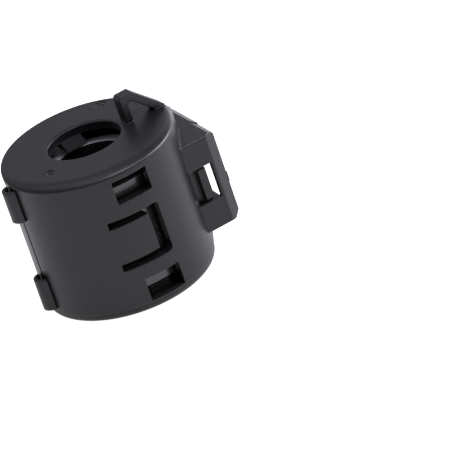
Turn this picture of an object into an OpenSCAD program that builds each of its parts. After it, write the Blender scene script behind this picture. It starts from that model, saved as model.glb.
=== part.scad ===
// Round clip-on ferrite suppressor: a hinged two-shell case of moulded nylon,
// with half a ferrite tube held in each shell. Millimetres.
// Z is the cable's axis, with the case standing on the end that has no loop.
// X runs from the hinge (-X) to the latch (+X), and the shells part at y = 0.

/* [Case] */
// Outside diameter of the closed case
case_d = 30; // [29:0.5:32]
// Length of the case along the cable
case_len = 27.1; // [26.1:0.5:29.6]
// Diameter of the cable hole in each end wall
end_hole_d = 13.1; // [12:0.1:14]
// Thickness of the curved wall
side_wall = 1.9; // [1.7:0.1:2.1]
// Thickness of each end wall
end_wall = 1.7; // [1.5:0.1:1.9]
// Radius of the rounded rim at both ends
rim_r = 1.2; // [0.6:0.1:1.5]
// Gap between the two shells at the parting plane
parting_gap = 0.04; // [0.04:0.02:0.12]
// Width to which that gap opens at the hinge
hinge_side_gap = 0.14; // [0.06:0.02:0.2]

/* [Ferrite halves] */
// Outside diameter of the ferrite tube
core_d = 25.2; // [24.8:0.1:25.4]
// Diameter of its bore, which takes the cable
core_bore_d = 13; // [12.4:0.1:13.2]
// Length of each ferrite half
core_len = 20.2; // [19:0.1:20.4]
// Bevel along the curved edges of the ferrite
core_bevel = 0.5; // [0.2:0.1:0.8]

/* [Windows] */
// Width of the rectangular windows
window_w = 6.6; // [5:0.1:8]
// Height of each rectangular window
window_h = 4.2; // [3:0.1:4.6]
// Distance from the middle of the window group to the far edge of each window
window_far = 11.45; // [11.2:0.05:11.5]
// Height of the slot round the spring tongue
tongue_slot_h = 9.4; // [9:0.1:10]
// Width of the two long arms of that slot
tongue_gap = 1.35; // [1:0.05:2]
// Width of the slot at the free end of the tongue
tongue_end_gap = 2.2; // [1:0.1:2.5]
// How far the tongue reaches towards the hinge from the axis
tongue_root_x = 6.05; // [5.5:0.05:6.5]
// Angle by which the tongue is bent in on to the ferrite
tongue_bend = 3; // [0:0.5:3.5]

/* [Hinge] */
// Outside radius of the curl of each strap
strap_r = 1.85; // [1.75:0.05:2.1]
// Thickness of a strap
strap_t = 0.7; // [0.5:0.1:0.9]
// Length of each strap along the case
strap_len = 5.9; // [5:0.1:7]
// Distance from an end of the case to its strap
strap_inset = 2; // [1.8:0.1:2.5]
// Width of the clearance between the shells beside the straps
hinge_gap = 0.5; // [0.3:0.1:0.8]

/* [Latch] */
// How far the latch box stands out from the axis, at the parting plane
latch_reach = 20.3; // [20:0.1:20.8]
// Reach of the latch box in front of the parting plane
latch_front_depth = 7.65; // [7.4:0.05:8]
// Reach of the latch box behind the parting plane
latch_rear_depth = 10; // [8:0.1:10.5]
// Height of the latch box along the case
latch_h = 16.7; // [16:0.1:18]
// Width across the bevel of the latch box's outer corners, on their front face
latch_bevel_x = 2.1; // [1.2:0.1:2.4]
// Depth of that bevel, on the outer face
latch_bevel_y = 1.45; // [0.8:0.05:1.8]
// Thickness of the front and rear walls of the latch box
latch_wall = 0.9; // [0.7:0.1:1.1]
// Thickness of its floor and roof
latch_floor = 0.7; // [0.5:0.1:0.9]
// Width of the window in the front of the latch box
latch_window_w = 4.6; // [3.9:0.05:4.8]
// Height of that window
latch_window_h = 6.6; // [6:0.1:7.5]
// Thickness of the hook's arm
hook_t = 1.05; // [0.85:0.05:1.1]

/* [Tie loop] */
// Height of the loop above the end of the case
loop_h = 4.95; // [4.5:0.05:5.5]
// Width of the loop across the parting direction
loop_w = 2.35; // [2:0.05:2.6]
// Thickness of the loop's upright leg
loop_leg_t = 1.3; // [1.1:0.1:1.5]
// Thickness of the loop's sloping bar
loop_bar_t = 1.4; // [1.2:0.1:1.6]

/* [Hidden] */
$fn = 96;

case_r = case_d / 2;
inner_r = case_r - side_wall;
end_hole_r = end_hole_d / 2;
core_r = core_d / 2;
core_bore_r = core_bore_d / 2;
half_gap = parting_gap / 2;
ample = 60;
cut = 0.01;
hole_edge_r = 0.3;

// Height of the middle of the windows and tongue, and where the tongue's slot starts
group_z = 13.15;
tongue_cut_y = 10.6;
tongue_corner_r = 0.8;

// Each ferrite half rests on a plain stop at the lower end of its shell. Above it,
// with some end play, lies a finger whose sloping tip presses on the cable
finger_t = 1.15;
finger_w = 3.9;
finger_tip_y = 4;
finger_slope_y = 6.1;
finger_tip_t = 0.1;
finger_root_y = 11.75;
stop_y = 6.7;
core_low = end_wall + finger_t;
core_face_gap = 0.02;

// Hinge: each strap curls about a line just outside the wall, and the seam widens
// towards it from seam_wedge_x on
seam_wedge_x = -3;
strap_x = -14.75;
strap_y = 0.5;
relief_x = -12.5;
relief_low = 6;
relief_high = case_len - 6;

// Flank: beside the latch the wall runs out of the round on a tangent to a flat
// on each shell, with a slope from its upper end
upper_flank_reach = 16.6;
lower_flank_reach = 15.8;
flank_angle = 26.5;
flank_sink = 0.04;
flank_edge_r = 1.1;
flank_rim_r = 0.45;
flank_slope_x = 14.3;
flank_slope = 43.5;

// Latch box, its windows and the ledge inside it
latch_z = 12.4;
latch_low = latch_z - latch_h / 2;
latch_high = latch_z + latch_h / 2;
latch_in_x = 19;
latch_draft = 0.3;
latch_edge_r = 0.35;
latch_end_bevel_x = 1.45;
latch_end_bevel_z = 1.1;
rear_latch_extra = 0.35;
rear_latch_draft = -0.3;
rear_latch_bevel = 0.6;
side_window_low = 5.2;
side_window_high = 17.5;
front_side_window_y = 4;
rear_side_window_y = 5;
window_x = 12.8;
latch_window_low = 9.25;
latch_window_high = latch_window_low + latch_window_h;
nib_z = 11.3;
nib_half = 0.9;
nib_h = 0.15;

// Hook: an arm on the rear shell whose barb holds under a ledge in the front shell
hook_x = 15.1;
hook_play = 0.4;
hook_tip_y = 7.3;
hook_root_y = 5.2;
hook_root_t = 1.4;
barb_reach = 0.45;
barb_len = 1.1;
ledge_x = 14.95;
ledge_y = hook_tip_y - barb_len - 0.06;
ledge_t = 1.1;
recess_x = 14.35;

// Tie loop
loop_x = 7.25;
loop_flat = 2.65;
loop_slope = 44.2;
loop_y = -2.85;
loop_foot_x = 15;
loop_corner = 0.35;
loop_hole_r = 0.5;

// Small round dimple left by the moulding gate, with the gate's stub in the middle
gate_r = 1.1;
gate_deep = 0.12;
gate_stub_r = 0.35;
gate_stub_h = 0.09;
gate_stub_off = [0.5, -0.5];
front_gate = [-9.85, -5.05];
rear_gate = [8.3, 9.3];

// A block between two corners
module block(low, high) {
    translate(low) cube(high - low);
}

// Half of space on the front (side = -1) or the rear (side = 1) of the parting plane
module half_space(side, gap) {
    y0 = side < 0 ? -ample : gap;
    y1 = side < 0 ? -gap : ample;
    block([-ample, y0, -ample], [ample, y1, ample]);
}

// A rectangle from [x0, y0] to [x1, y1] with the corners at its high x rounded,
// the lower one to low_r and the upper one to high_r
module round_nosed(x0, y0, x1, y1, low_r, high_r) {
    translate([x0, y0]) square([x1 - x0 - low_r, y1 - y0 - high_r]);
    translate([x0, y0 + low_r]) square([x1 - x0 - high_r, y1 - y0 - low_r]);
    translate([x0, y0 + low_r]) square([x1 - x0, y1 - y0 - low_r - high_r]);
    translate([x1 - low_r, y0 + low_r]) circle(low_r);
    translate([x1 - high_r, y1 - high_r]) circle(high_r);
}

// Outline of the corner that rounding to hole_edge_r takes off the lower hole's edge
module hole_edge_waste() {
    difference() {
        translate([end_hole_r - 1, -1]) square(1 + hole_edge_r);
        translate([end_hole_r + hole_edge_r, hole_edge_r]) circle(hole_edge_r);
    }
}

// The closed case as one hollow drum with rounded rims and a hole in each end
module drum() {
    rotate_extrude() difference() {
        round_nosed(0, 0, case_r, case_len, rim_r, rim_r);
        translate([0, -1]) square([end_hole_r, case_len + 2]);
        translate([0, end_wall]) square([inner_r, case_len - 2 * end_wall]);
        hole_edge_waste();
        translate([0, case_len]) mirror([0, 1]) hole_edge_waste();
    }
}

// Finger under the upper end wall of one shell, its tip sloping in below the cable hole
module finger() {
    translate([0, 0, case_len - end_wall]) rotate([90, 0, 90])
        linear_extrude(finger_w, center = true) polygon([
            [-finger_root_y, cut], [-finger_slope_y, cut],
            [-finger_tip_y, finger_tip_t - finger_t], [-finger_tip_y, -finger_t],
            [-finger_root_y, -finger_t],
        ]);
}

// Plain stop on the lower end wall of one shell, on which the ferrite half rests
module end_stop() {
    block([-finger_w / 2, -finger_root_y, end_wall - cut], [finger_w / 2, -stop_y, core_low]);
}

// Half the flank of one shell: the wall running out on a tangent, up to reach
module flank(low, high, reach) {
    intersection() {
        rotate([90, 0, -flank_angle]) linear_extrude(case_d, center = true)
            round_nosed(inner_r / 2, 0, case_r - flank_sink, case_len, flank_edge_r, flank_edge_r);
        rotate([90, 0, 0]) linear_extrude(case_d, center = true) difference() {
            round_nosed(inner_r / 2, 0, reach, case_len, flank_rim_r, flank_rim_r);
            translate([flank_slope_x, case_len]) rotate(-flank_slope) square(case_len);
        }
        block([inner_r + 0.2, -case_r * sin(flank_angle), low], [ample, -half_gap, high]);
    }
}

// Both parts of the flank of one shell, above and below the latch box's inside
module flanks() {
    flank(0, latch_low + latch_floor, lower_flank_reach);
    flank(latch_high - latch_floor, case_len, upper_flank_reach);
}

// The openings through the curved wall of one shell, drawn straight along Y
module wall_openings() {
    for (z = [group_z - window_far, group_z + window_far - window_h])
        block([-window_w / 2, -case_r - 1, z], [window_w / 2, -finger_root_y - cut, z + window_h]);
    translate([0, -tongue_cut_y, group_z]) rotate([90, 0, 0]) linear_extrude(case_r)
        round_nosed(-tongue_root_x, -tongue_slot_h / 2, window_w / 2, tongue_slot_h / 2,
                    tongue_corner_r, tongue_corner_r);
}

// The spring tongue: a strip of the curved wall, turned in about its root
module tongue() {
    root_y = -sqrt(case_r * case_r - tongue_root_x * tongue_root_x);
    half_h = tongue_slot_h / 2 - tongue_gap;
    translate([-tongue_root_x, root_y, 0]) rotate([0, 0, tongue_bend])
        translate([tongue_root_x, -root_y, 0]) intersection() {
            difference() {
                cylinder(r = case_r, h = case_len);
                translate([0, 0, -1]) cylinder(r = inner_r, h = case_len + 2);
            }
            block([-tongue_root_x - 0.5, -ample, group_z - half_h],
                  [window_w / 2 - tongue_end_gap, 0, group_z + half_h]);
        }
}

// The gap between the shells, opening out towards the hinge
module seam_wedge() {
    translate([0, 0, -1]) linear_extrude(case_len + 2) polygon([
        [seam_wedge_x, -half_gap], [-case_r, -hinge_side_gap / 2], [-ample, -hinge_side_gap / 2],
        [-ample, ample], [seam_wedge_x, ample],
    ]);
}

// One shell without its latch: front as drawn, rear as its mirror image
module plain_shell() {
    difference() {
        intersection() {
            union() {
                difference() {
                    drum();
                    wall_openings();
                }
                finger();
                end_stop();
                tongue();
            }
            half_space(-1, half_gap);
        }
        seam_wedge();
        block([-ample, -hinge_gap / 2, relief_low], [relief_x, ample, relief_high]);
    }
    flanks();
}

// Plan of a latch box, with a little draft on its outer face and a bevelled corner
module latch_plan(reach, depth, draft, bevel_x, bevel_y) {
    mirror([0, 1]) polygon([
        [0, 0], [reach, 0], [reach - draft, depth - bevel_y],
        [reach - draft - bevel_x, depth], [0, depth],
    ]);
}

// The latch box seen along Y, with both outer corners bevelled
module latch_front_view(reach) {
    polygon([
        [0, latch_low], [reach - latch_end_bevel_x, latch_low],
        [reach, latch_low + latch_end_bevel_z], [reach, latch_high - latch_end_bevel_z],
        [reach - latch_end_bevel_x, latch_high], [0, latch_high],
    ]);
}

// The hollow latch box of one shell, open towards the parting plane
module latch_box(reach, depth, draft, bevel_x, bevel_y, window_y) {
    widest = max(reach, reach - draft);
    difference() {
        intersection() {
            translate([0, 0, latch_low]) linear_extrude(latch_h)
                latch_plan(reach, depth, draft, bevel_x, bevel_y);
            rotate([90, 0, 0]) linear_extrude(depth) latch_front_view(widest);
            rotate([90, 0, 90]) linear_extrude(widest) mirror([1, 0])
                round_nosed(-depth, latch_low, depth, latch_high, latch_edge_r, latch_edge_r);
            block([0, -ample, 0], [ample, -half_gap, ample]);
        }
        block([0, -depth + latch_wall, latch_low + latch_floor],
              [latch_in_x, cut, latch_high - latch_floor]);
        block([latch_in_x - 1, -window_y, side_window_low], [ample, cut, side_window_high]);
        translate([0, 0, -1]) cylinder(r = case_r - side_wall / 2, h = case_len + 2);
    }
}

// The loop for a cable tie on the upper end, drawn in X and Z
module loop_outline() {
    top = case_len + loop_h;
    foot_z = top - (loop_foot_x - loop_x - loop_flat) * tan(loop_slope);
    polygon([
        [loop_x, case_len - 0.5], [loop_x, top - loop_corner], [loop_x + loop_corner, top],
        [loop_x + loop_flat, top], [loop_foot_x - 0.3, foot_z + 0.3],
        [loop_foot_x - 0.12, case_len - rim_r + 0.4], [loop_foot_x - 1, case_len - 0.8],
        [loop_foot_x - 1, case_len - 0.5],
    ]);
}

// Opening of the loop, three-sided with its upper corner rounded
module loop_hole() {
    r = loop_hole_r;
    top = case_len + loop_h;
    left = loop_x + loop_leg_t;
    high = top + (loop_x + loop_flat - left - r) * tan(loop_slope)
         - (loop_bar_t + r) / cos(loop_slope);
    difference() {
        translate([left, case_len]) square([loop_foot_x, loop_h]);
        translate([left + r, high]) rotate(-loop_slope)
            translate([-ample, r]) square(2 * ample);
        difference() {
            translate([left - 1, high]) square([1 + r + r * sin(loop_slope), loop_h]);
            translate([left + r, high]) circle(r);
            translate([left + r, high - cut]) rotate(-loop_slope) translate([0, -1]) square([2, 1]);
        }
    }
}

module tie_loop() {
    translate([0, loop_y + loop_w, 0]) rotate([90, 0, 0]) linear_extrude(loop_w)
        difference() {
            loop_outline();
            loop_hole();
        }
}

// Small bar on the outside of the latch box that shows where to press
module nib() {
    block([latch_in_x + 0.1, -latch_front_depth + latch_bevel_y, nib_z - nib_half],
          [latch_reach - latch_draft + nib_h, -front_side_window_y - 0.6, nib_z + nib_half]);
}

// The gate's dimple in the upper end of a shell, left with its stub
module gate_dimple(at) {
    translate([at[0], at[1], case_len - gate_deep]) difference() {
        cylinder(r = gate_r, h = 1);
        translate([gate_stub_off[0], gate_stub_off[1], -cut])
            cylinder(r = gate_stub_r, h = gate_stub_h + cut);
    }
}

// Front shell, with the latch box and the tie loop
module front_shell() {
    color("#2f2f33") {
        difference() {
            union() {
                plain_shell();
                latch_box(latch_reach, latch_front_depth, latch_draft,
                          latch_bevel_x, latch_bevel_y, front_side_window_y);
                block([inner_r, -ledge_y, latch_low + latch_floor - cut],
                      [ledge_x, -ledge_y + ledge_t, latch_high - latch_floor + cut]);
            }
            block([recess_x, -ledge_y + ledge_t, latch_window_low],
                  [latch_in_x, cut, latch_window_high]);
            block([window_x, -latch_front_depth - 1, latch_window_low],
                  [window_x + latch_window_w, -ledge_y, latch_window_high]);
            gate_dimple(front_gate);
        }
        tie_loop();
        nib();
    }
}

// The hook on the rear shell: an arm across the parting plane with a barb at its tip
module hook() {
    low = latch_window_low + hook_play;
    high = latch_window_high - hook_play;
    block([hook_x, -hook_tip_y, low], [hook_x + hook_t, hook_root_y, high]);
    block([inner_r, hook_root_y - hook_root_t, low], [hook_x + hook_t, hook_root_y, high]);
    translate([0, 0, low]) linear_extrude(high - low)
        polygon([
            [hook_x + cut, -hook_tip_y], [hook_x - barb_reach + 0.1, -hook_tip_y],
            [hook_x - barb_reach, -hook_tip_y + 0.1],
            [hook_x - barb_reach, -hook_tip_y + barb_len], [hook_x + cut, -hook_tip_y + barb_len],
        ]);
}

// Rear shell, with its half of the latch box and the hook
module rear_shell() {
    color("#2f2f33") {
        difference() {
            mirror([0, 1, 0]) {
                plain_shell();
                latch_box(latch_reach + rear_latch_extra + rear_latch_draft, latch_rear_depth,
                          rear_latch_draft, rear_latch_bevel, rear_latch_bevel,
                          rear_side_window_y);
            }
            gate_dimple(rear_gate);
        }
        hook();
    }
}

// One hinge strap: a hollow curl over the parting line
module hinge_strap(low) {
    translate([0, 0, low]) linear_extrude(strap_len) difference() {
        translate([strap_x, strap_y]) circle(strap_r);
        translate([strap_x, strap_y]) circle(strap_r - strap_t);
        circle(case_r);
    }
}

module upper_hinge_strap() {
    color("#2f2f33") hinge_strap(case_len - strap_inset - strap_len);
}

module lower_hinge_strap() {
    color("#2f2f33") hinge_strap(strap_inset);
}

// Half a ferrite tube with bevelled ends
module ferrite_half(side) {
    translate([0, 0, core_low]) intersection() {
        rotate_extrude() polygon([
            [core_bore_r, 0], [core_r - core_bevel, 0], [core_r, core_bevel],
            [core_r, core_len - core_bevel], [core_r - core_bevel, core_len],
            [core_bore_r, core_len],
        ]);
        half_space(side, core_face_gap);
    }
}

module front_core() {
    color("#4a4a4e") ferrite_half(-1);
}

module rear_core() {
    color("#4a4a4e") ferrite_half(1);
}

front_shell();
rear_shell();
upper_hinge_strap();
lower_hinge_strap();
front_core();
rear_core();
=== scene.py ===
from math import cos, radians, sin

import bmesh
import bpy
from mathutils import Matrix, Quaternion, Vector


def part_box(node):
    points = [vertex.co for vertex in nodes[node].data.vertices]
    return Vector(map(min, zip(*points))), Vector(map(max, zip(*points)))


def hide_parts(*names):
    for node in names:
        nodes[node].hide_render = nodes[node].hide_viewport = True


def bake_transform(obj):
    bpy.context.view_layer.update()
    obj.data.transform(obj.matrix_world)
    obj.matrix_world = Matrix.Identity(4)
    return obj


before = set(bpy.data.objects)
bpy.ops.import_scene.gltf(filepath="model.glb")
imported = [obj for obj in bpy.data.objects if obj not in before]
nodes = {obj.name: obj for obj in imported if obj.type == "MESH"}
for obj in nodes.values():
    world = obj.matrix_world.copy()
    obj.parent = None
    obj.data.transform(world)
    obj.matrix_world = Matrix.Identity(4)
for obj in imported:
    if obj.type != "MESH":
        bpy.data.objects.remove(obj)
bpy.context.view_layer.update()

# ---------------------------------------------------------------------------
# Camera: a long lens 0.9 m away, in front of the case, above it and towards its
# hinge, turned a little on its own axis.
# ---------------------------------------------------------------------------
eye = Vector((-0.27749, -0.76907, 0.39619))
aim = Vector((0.01754, -0.00679, 0.00109))
camera_turn = radians(-18.978)
sensor_mm, lens_mm = 36, 409.21
nearest_seen, farthest_seen = 0.05, 20

camera = bpy.data.objects.new("camera", bpy.data.cameras.new("camera"))
camera.data.sensor_width = sensor_mm
camera.data.lens = lens_mm
camera.data.clip_start = nearest_seen
camera.data.clip_end = farthest_seen
camera.location = eye
camera.rotation_mode = "QUATERNION"
line_of_sight = (aim - eye).to_track_quat("-Z", "Y")
camera.rotation_quaternion = line_of_sight @ Quaternion((0, 0, 1), camera_turn)
bpy.context.scene.collection.objects.link(camera)
bpy.context.scene.camera = camera
bpy.context.scene.view_settings.view_transform = "Standard"

# ---------------------------------------------------------------------------
# Case shells: one moulding of black nylon from a spark-eroded mould. The
# erosion leaves a fine even grain that breaks every highlight up.
# ---------------------------------------------------------------------------


def linear(hex_colour):
    """An sRGB hex colour as linear red, green, blue and alpha."""
    values = [int(hex_colour[i:i + 2], 16) / 255 for i in (1, 3, 5)]
    return [v / 12.92 if v <= 0.04045 else ((v + 0.055) / 1.055) ** 2.4
            for v in values] + [1]


def add_node(tree, kind, inputs=None, **settings):
    """Adds a node, sets its properties, and sets or links its inputs."""
    node = tree.nodes.new(kind)
    for name, value in settings.items():
        setattr(node, name, value)
    for name, value in (inputs or {}).items():
        if isinstance(value, bpy.types.NodeSocket):
            tree.links.new(value, node.inputs[name])
        else:
            node.inputs[name].default_value = value
    return node


def new_material(name):
    """An empty material, its node tree and its output node."""
    material = bpy.data.materials.new(name)
    material.use_nodes = True
    material.node_tree.nodes.clear()
    output = add_node(material.node_tree, "ShaderNodeOutputMaterial")
    return material, material.node_tree, output


def dress(piece, material):
    """Gives a piece one material all over."""
    piece.data.materials.clear()
    piece.data.materials.append(material)


case_middle = 0.01355


def place_in_case(tree):
    """Sockets for where a point lies in its own shell or ferrite half, open or closed.

    across is its X, from_axis its way from the cable's line and radius how far that
    is, height how high it is above the case's middle, and far the same without sign.
    """
    place = add_node(tree, "ShaderNodeTexCoord").outputs["Object"]
    along = add_node(tree, "ShaderNodeSeparateXYZ", {0: place})
    from_axis = add_node(tree, "ShaderNodeVectorMath", {
        0: place, 1: (1, 1, 0)}, operation="MULTIPLY").outputs[0]
    radius = add_node(tree, "ShaderNodeVectorMath", {
        0: from_axis}, operation="LENGTH").outputs["Value"]
    height = add_node(tree, "ShaderNodeMath", {
        0: along.outputs["Z"], 1: case_middle}, operation="SUBTRACT").outputs[0]
    far = add_node(tree, "ShaderNodeMath", {0: height}, operation="ABSOLUTE").outputs[0]
    return {"place": place, "across": along.outputs["X"], "from_axis": from_axis,
            "radius": radius, "height": height, "far": far}


# Moulded nylon, spark-eroded: matt, with a soft broad highlight. The grain is drawn
# 0.3 mm across, and patches of slightly different tint and gloss 3 mm across.
grain_per_m, patches_per_m = 3200, 350
grain_depth = 0.00005
worn_edge_r = 0.0003
darkest_nylon, palest_nylon = "#131315", "#19191b"
glossiest, dullest = 0.30, 0.36
moulded_nylon, tree, output = new_material("moulded_nylon")
spot = place_in_case(tree)
place, radius, far = spot["place"], spot["radius"], spot["far"]
erosion = add_node(tree, "ShaderNodeTexNoise", {
    "Vector": place, "Scale": grain_per_m, "Detail": 3, "Roughness": 0.6})
patches = add_node(tree, "ShaderNodeTexNoise", {
    "Vector": place, "Scale": patches_per_m, "Detail": 2, "Roughness": 0.5})
worn_edge = add_node(tree, "ShaderNodeBevel", {"Radius": worn_edge_r}, samples=8)
facing = worn_edge.outputs["Normal"]
facing_z = add_node(tree, "ShaderNodeSeparateXYZ", {0: facing}).outputs["Z"]
outward = add_node(tree, "ShaderNodeVectorMath", {
    0: spot["from_axis"]}, operation="NORMALIZE")
outward = add_node(tree, "ShaderNodeVectorTransform", {0: outward.outputs[0]},
                   vector_type="VECTOR", convert_from="OBJECT", convert_to="WORLD").outputs[0]

# The rim of each end turns over quickly at first, and slowly from there to the end
# face, on the outside and clear of the latch. Heights are from the case's middle.
rim_starts, rim_crest, end_face = 0.01165, 0.01265, 0.01356
quick_turn, slow_turn = radians(60), radians(30)
outer_rim_r, latch_side_x = 0.01375, 0.0142
least_facing_out = 0.3
quickly = add_node(tree, "ShaderNodeMapRange", {
    "Value": far, "From Min": rim_starts, "From Max": rim_crest, "To Max": quick_turn},
    interpolation_type="SMOOTHSTEP")
slowly = add_node(tree, "ShaderNodeMapRange", {
    "Value": far, "From Min": rim_crest, "From Max": end_face, "To Max": slow_turn})
angle = add_node(tree, "ShaderNodeMath", {
    0: quickly.outputs["Result"], 1: slowly.outputs["Result"]}, operation="ADD").outputs[0]
lean = add_node(tree, "ShaderNodeMath", {0: angle}, operation="COSINE").outputs[0]
rise = add_node(tree, "ShaderNodeMath", {0: angle}, operation="SINE").outputs[0]
up_or_down = add_node(tree, "ShaderNodeMath", {0: spot["height"]}, operation="SIGN").outputs[0]
rise = add_node(tree, "ShaderNodeMath", {
    0: rise, 1: up_or_down}, operation="MULTIPLY").outputs[0]
rim_out = add_node(tree, "ShaderNodeVectorMath", {
    0: outward, "Scale": lean}, operation="SCALE").outputs[0]
rim_up = add_node(tree, "ShaderNodeCombineXYZ", {"Z": rise}).outputs[0]
rim_facing = add_node(tree, "ShaderNodeVectorMath", {
    0: rim_out, 1: rim_up}, operation="ADD").outputs[0]
sideways = add_node(tree, "ShaderNodeVectorMath", {
    0: facing, 1: outward}, operation="DOT_PRODUCT").outputs["Value"]
endways = add_node(tree, "ShaderNodeMath", {0: facing_z}, operation="ABSOLUTE").outputs[0]
faces_out = add_node(tree, "ShaderNodeMath", {
    0: sideways, 1: endways}, operation="ADD").outputs[0]
on_rim = 1.0
for value, test, limit in ((far, "GREATER_THAN", rim_starts),
                           (far, "LESS_THAN", end_face),
                           (radius, "GREATER_THAN", outer_rim_r),
                           (faces_out, "GREATER_THAN", least_facing_out),
                           (spot["across"], "LESS_THAN", latch_side_x)):
    passed = add_node(tree, "ShaderNodeMath", {0: value, 1: limit}, operation=test)
    on_rim = add_node(tree, "ShaderNodeMath", {
        0: on_rim, 1: passed.outputs[0]}, operation="MULTIPLY").outputs[0]

# The edge of each cable hole is sharp: there the rounding faces the end at once.
hole_rim_r, hole_rim_starts = 0.00695, 0.01232
pull_to_end = (6, 6, 6)
in_hole = add_node(tree, "ShaderNodeMath", {0: radius, 1: hole_rim_r}, operation="LESS_THAN")
at_end = add_node(tree, "ShaderNodeMath", {
    0: far, 1: hole_rim_starts}, operation="GREATER_THAN")
in_hole = add_node(tree, "ShaderNodeMath", {
    0: in_hole.outputs[0], 1: at_end.outputs[0]}, operation="MULTIPLY").outputs[0]
flatter = add_node(tree, "ShaderNodeMath", {
    0: facing_z, 1: in_hole}, operation="MULTIPLY").outputs[0]
flatter = add_node(tree, "ShaderNodeCombineXYZ", {"Z": flatter}).outputs[0]
hole_facing = add_node(tree, "ShaderNodeVectorMath", {
    0: flatter, 1: pull_to_end, 2: facing}, operation="MULTIPLY_ADD").outputs[0]
turned = add_node(tree, "ShaderNodeMix", {
    "Factor": on_rim, 4: hole_facing, 5: rim_facing}, data_type="VECTOR")
turned = add_node(tree, "ShaderNodeVectorMath", {0: turned.outputs[1]}, operation="NORMALIZE")

# Each gate's dimple, 2.2 mm across, is torn: crumbs under 1 mm where the sprue broke,
# with painted shade in pits among them.
gates = ((-0.00985, -0.00505, 0.0271), (0.0083, 0.0093, 0.0271))
gate_r = 0.0011
crumbs_per_m, crumb_depth = 1500, 0.001
pits_from, pits_full, pit_shade_strength = 0.50, 0.58, 0.85
torn = 0.0
for gate in gates:
    from_gate = add_node(tree, "ShaderNodeVectorMath", {0: place, 1: gate}, operation="DISTANCE")
    in_dimple = add_node(tree, "ShaderNodeMath", {
        0: from_gate.outputs["Value"], 1: gate_r}, operation="LESS_THAN")
    torn = add_node(tree, "ShaderNodeMath", {
        0: in_dimple.outputs[0], 1: torn}, operation="ADD").outputs[0]
crumbs = add_node(tree, "ShaderNodeTexNoise", {
    "Vector": place, "Scale": crumbs_per_m, "Detail": 3, "Roughness": 0.7})
crumbs = add_node(tree, "ShaderNodeMath", {
    0: crumbs.outputs["Fac"], 1: torn}, operation="MULTIPLY").outputs[0]
crumbled = add_node(tree, "ShaderNodeBump", {
    "Height": crumbs, "Strength": 1.0, "Distance": crumb_depth, "Normal": turned.outputs[0]})
grain = add_node(tree, "ShaderNodeBump", {
    "Height": erosion.outputs["Fac"], "Strength": 0.5, "Distance": grain_depth,
    "Normal": crumbled.outputs["Normal"]})
# Painted shade in the gates' pits, which are also drawn rougher.
painted_pit_shade = add_node(tree, "ShaderNodeMapRange", {
    "Value": crumbs, "From Min": pits_from, "From Max": pits_full, "To Max": pit_shade_strength})

# The fingers inside the case are drawn duller than the outer skin, and darkened with painted
# shade.
finger_r, finger_height = 0.0086, 0.0121
# Painted shade for the fingers and the gates' pits.
painted_shade_nylon = "#050506"
duller_by = 0.6
near_bore = add_node(tree, "ShaderNodeMath", {0: radius, 1: finger_r}, operation="LESS_THAN")
indoors = add_node(tree, "ShaderNodeMath", {0: far, 1: finger_height}, operation="LESS_THAN")
on_finger = add_node(tree, "ShaderNodeMath", {
    0: near_bore.outputs[0], 1: indoors.outputs[0]}, operation="MULTIPLY").outputs[0]
tint = add_node(tree, "ShaderNodeMix", {
    "Factor": patches.outputs["Fac"], 6: linear(darkest_nylon), 7: linear(palest_nylon)},
    data_type="RGBA")
# Painted shade: the fingers and the gates' pits are mixed towards a near-black.
for darkening in (on_finger, painted_pit_shade.outputs["Result"]):
    tint = add_node(tree, "ShaderNodeMix", {
        "Factor": darkening, 6: tint.outputs[2], 7: linear(painted_shade_nylon)}, data_type="RGBA")
gloss = add_node(tree, "ShaderNodeMapRange", {
    "Value": patches.outputs["Fac"], "To Min": glossiest, "To Max": dullest})
rougher = add_node(tree, "ShaderNodeMath", {
    0: on_finger, 1: painted_pit_shade.outputs["Result"]}, operation="MAXIMUM")
gloss = add_node(tree, "ShaderNodeMath", {
    0: rougher.outputs[0], 1: duller_by, 2: gloss.outputs["Result"]}, operation="MULTIPLY_ADD")
skin = add_node(tree, "ShaderNodeBsdfPrincipled", {
    "Base Color": tint.outputs[2], "Roughness": gloss.outputs[0], "IOR": 1.53,
    "Normal": grain.outputs["Normal"]})
tree.links.new(skin.outputs["BSDF"], output.inputs["Surface"])

for name in ("front_shell", "rear_shell"):
    dress(nodes[name], moulded_nylon)

# ---------------------------------------------------------------------------
# Hinge straps: two thin curls of the same nylon, moulded in one with both
# shells. On the real case they bend where the curl stands furthest out.
# ---------------------------------------------------------------------------
curl_centre = Vector((-0.01475, 0.0005, 0))
curl_outside = 0.00185
curl_thickness = 0.0007
half_curl = radians(82)
curl_steps = 48
strap_length = 0.0059
strap_edge = 0.00012
sharp_fold = 1


def hinge_strap(name, low):
    """A curl of strip about curl_centre, from the front shell's wall to the rear's."""
    curl_inside = curl_outside - curl_thickness
    shape = bmesh.new()
    corners = [shape.verts.new((curl_centre.x - r, curl_centre.y, low + h))
               for r, h in ((curl_outside, 0), (curl_outside, strap_length),
                            (curl_inside, strap_length), (curl_inside, 0))]
    section = shape.faces.new(corners)
    bmesh.ops.rotate(shape, verts=corners, cent=curl_centre,
                     matrix=Matrix.Rotation(half_curl, 3, "Z"))
    bmesh.ops.spin(shape, geom=[section], cent=curl_centre, axis=(0, 0, -1),
                   angle=2 * half_curl, steps=curl_steps, use_duplicate=False)
    bmesh.ops.recalc_face_normals(shape, faces=shape.faces)
    long_edges = [e for e in shape.edges
                  if len(e.link_faces) == 2 and e.calc_face_angle() > sharp_fold]
    bmesh.ops.bevel(shape, geom=long_edges, offset=strap_edge, segments=3,
                    profile=0.5, affect="EDGES", material=-1)
    mesh = bpy.data.meshes.new(name)
    shape.to_mesh(mesh)
    shape.free()
    mesh.shade_smooth()
    strap = bpy.data.objects.new(name, mesh)
    bpy.context.scene.collection.objects.link(strap)
    dress(strap, moulded_nylon)
    return strap


for node_name, piece_name in (("upper_hinge_strap", "upper_strap_curl"),
                              ("lower_hinge_strap", "lower_strap_curl")):
    strap = hinge_strap(piece_name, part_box(node_name)[0][2])
    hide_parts(node_name)
    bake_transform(strap)

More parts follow.
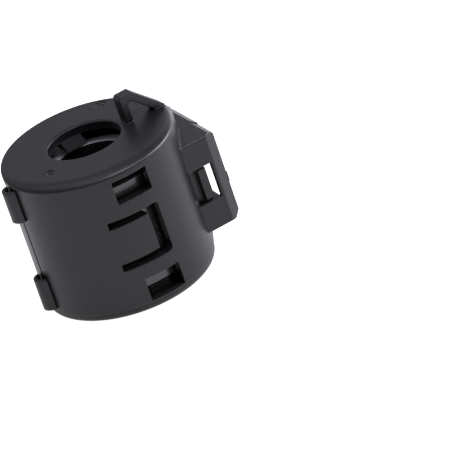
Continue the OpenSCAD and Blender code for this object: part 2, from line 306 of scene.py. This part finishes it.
# ---------------------------------------------------------------------------
# Ferrite halves: pressed and sintered soft ferrite, ground on the parting faces.
# A dark grey ceramic with a dense, slightly glossy skin.
# ---------------------------------------------------------------------------
granules_per_m, granule_depth = 2500, 0.00004
ground_edge_r = 0.0001
sintered_ferrite, tree, output = new_material("sintered_ferrite")
spot = place_in_case(tree)
place, radius, far = spot["place"], spot["radius"], spot["far"]
granules = add_node(tree, "ShaderNodeTexNoise", {
    "Vector": place, "Scale": granules_per_m, "Detail": 4, "Roughness": 0.65})
ground_edge = add_node(tree, "ShaderNodeBevel", {"Radius": ground_edge_r}, samples=8)
pits = add_node(tree, "ShaderNodeBump", {
    "Height": granules.outputs["Fac"], "Strength": 0.2, "Distance": granule_depth,
    "Normal": ground_edge.outputs["Normal"]})
ceramic_tint = add_node(tree, "ShaderNodeMix", {
    "Factor": granules.outputs["Fac"], 6: linear("#161618"), 7: linear("#202022")},
    data_type="RGBA")

# Each end is drawn matt next to the bore, and a lighter grey there is painted light: the
# pool of light and glint that fall in through the cable hole. The bore and the joint faces
# are upright, and keep the skin's colour.
lit_ring_height, lit_ring_r = 0.0094, 0.00845
least_slope = 0.1
skin_roughness, lit_ring_roughness = 0.24, 0.5
surface = add_node(tree, "ShaderNodeNewGeometry")
slope = add_node(tree, "ShaderNodeSeparateXYZ", {0: surface.outputs["True Normal"]})
slope = add_node(tree, "ShaderNodeMath", {
    0: slope.outputs["Z"]}, operation="ABSOLUTE").outputs[0]
lit_ring = 1.0
for value, test, limit in ((far, "GREATER_THAN", lit_ring_height),
                           (radius, "LESS_THAN", lit_ring_r),
                           (slope, "GREATER_THAN", least_slope)):
    passed = add_node(tree, "ShaderNodeMath", {0: value, 1: limit}, operation=test)
    lit_ring = add_node(tree, "ShaderNodeMath", {
        0: lit_ring, 1: passed.outputs[0]}, operation="MULTIPLY").outputs[0]
# Painted light: the ring next to the bore is mixed towards a pale grey.
ceramic_tint = add_node(tree, "ShaderNodeMix", {
    "Factor": lit_ring, 6: ceramic_tint.outputs[2], 7: linear("#b4b4bc")}, data_type="RGBA")
polish = add_node(tree, "ShaderNodeMapRange", {
    "Value": lit_ring, "To Min": skin_roughness, "To Max": lit_ring_roughness})
ceramic = add_node(tree, "ShaderNodeBsdfPrincipled", {
    "Base Color": ceramic_tint.outputs[2], "Roughness": polish.outputs["Result"], "IOR": 1.9,
    "Normal": pits.outputs["Normal"]})
tree.links.new(ceramic.outputs["BSDF"], output.inputs["Surface"])

for name in ("front_core", "rear_core"):
    dress(nodes[name], sintered_ferrite)

# ---------------------------------------------------------------------------
# Floor: a plain white table, which keeps the case's shadow. It is white to the eye,
# through openings and in reflections. It lies a hair under the case's end face.
# ---------------------------------------------------------------------------
table_reach, table_height = 3, -0.00002
shape = bmesh.new()
bmesh.ops.create_grid(shape, x_segments=1, y_segments=1, size=table_reach,
                      matrix=Matrix.Translation((0, 0, table_height)))
mesh = bpy.data.meshes.new("floor")
shape.to_mesh(mesh)
shape.free()
floor = bpy.data.objects.new("floor", mesh)
bpy.context.scene.collection.objects.link(floor)

# The lit paint gives 0.65 of white, and this gives the rest in reflections.
rest_of_white = 0.35
white_table, tree, output = new_material("white_table")
rays = add_node(tree, "ShaderNodeLightPath")
straight = add_node(tree, "ShaderNodeMath", {
    0: rays.outputs["Is Camera Ray"], 1: rays.outputs["Is Transmission Ray"]},
    operation="MAXIMUM")
mirrored = add_node(tree, "ShaderNodeMath", {
    0: rays.outputs["Is Glossy Ray"], 1: rest_of_white}, operation="MULTIPLY")
seen = add_node(tree, "ShaderNodeMath", {
    0: straight.outputs[0], 1: mirrored.outputs[0]}, operation="MAXIMUM")
paint = add_node(tree, "ShaderNodeBsdfDiffuse", {"Color": linear("#cdcdcd")})
lift = add_node(tree, "ShaderNodeEmission", {
    "Color": (1, 1, 1, 1), "Strength": seen.outputs[0]})
both = add_node(tree, "ShaderNodeAddShader", {
    0: paint.outputs[0], 1: lift.outputs[0]})
tree.links.new(both.outputs[0], output.inputs["Surface"])
dress(floor, white_table)

# ---------------------------------------------------------------------------
# Light: a pale room and six soft boxes, the strongest one low on the right. A flat
# card renders about as bright as its colour is written. The light is a little cool.
# ---------------------------------------------------------------------------
cool_white = (0.90, 0.905, 1.0)
room_strength = 0.34
lit_point = Vector((0, 0, 0.0135))

world = bpy.data.worlds.new("studio")
bpy.context.scene.world = world
world.use_nodes = True
background = world.node_tree.nodes["Background"]
background.inputs["Color"].default_value = (*cool_white, 1)
background.inputs["Strength"].default_value = room_strength


def soft_box(name, azimuth, height, size, power):
    """A square soft box 1 m from the case and aimed at it. Azimuth 0 is at +X, 90 at +Y."""
    lamp = bpy.data.lights.new(name, "AREA")
    lamp.shape = "SQUARE"
    lamp.size = size
    lamp.energy = power
    lamp.color = cool_white
    a, h = radians(azimuth), radians(height)
    way = Vector((cos(a) * cos(h), sin(a) * cos(h), sin(h)))
    box = bpy.data.objects.new(name, lamp)
    box.location = lit_point + way
    box.rotation_euler = way.to_track_quat("Z", "Y").to_euler()
    bpy.context.scene.collection.objects.link(box)


soft_box("right_box", azimuth=0, height=12, size=0.62, power=9)
soft_box("rear_right_box", azimuth=45, height=12, size=0.62, power=0.9)
soft_box("front_right_box", azimuth=340, height=34, size=0.5, power=3.5)
soft_box("front_overhead_box", azimuth=302, height=63, size=0.42, power=3.2)
soft_box("rear_overhead_box", azimuth=90, height=65, size=0.6, power=0.8)
soft_box("overhead_box", azimuth=250, height=85, size=0.6, power=1.1)
